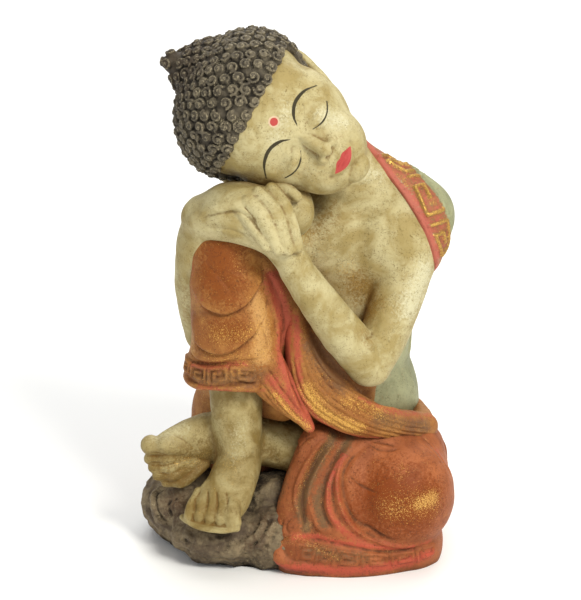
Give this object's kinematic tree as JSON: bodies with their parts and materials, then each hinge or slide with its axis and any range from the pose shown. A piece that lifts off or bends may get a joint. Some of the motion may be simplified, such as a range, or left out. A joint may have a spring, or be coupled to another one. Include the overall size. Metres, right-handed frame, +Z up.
{
  "type": "seated sleeping buddha statue",
  "caption": "Painted cast-stone figure of a seated sleeping Buddha on a low rock, one knee raised, head resting on crossed hands; stands flat on its underside.",
  "frame": {"origin": "on the flat underside, near the middle of its footprint, at ground height", "axes": "+Z up, the figure faces -Y, its left side is towards +X"},
  "size_m": [0.2333, 0.1789, 0.3958],
  "materials": {
    "painted_stone": "matt paint with gold rubbed on, over cast stone"
  },
  "bodies": {
    "root": {"buddha_statue": "painted_stone"}
  },
  "joints": []
}
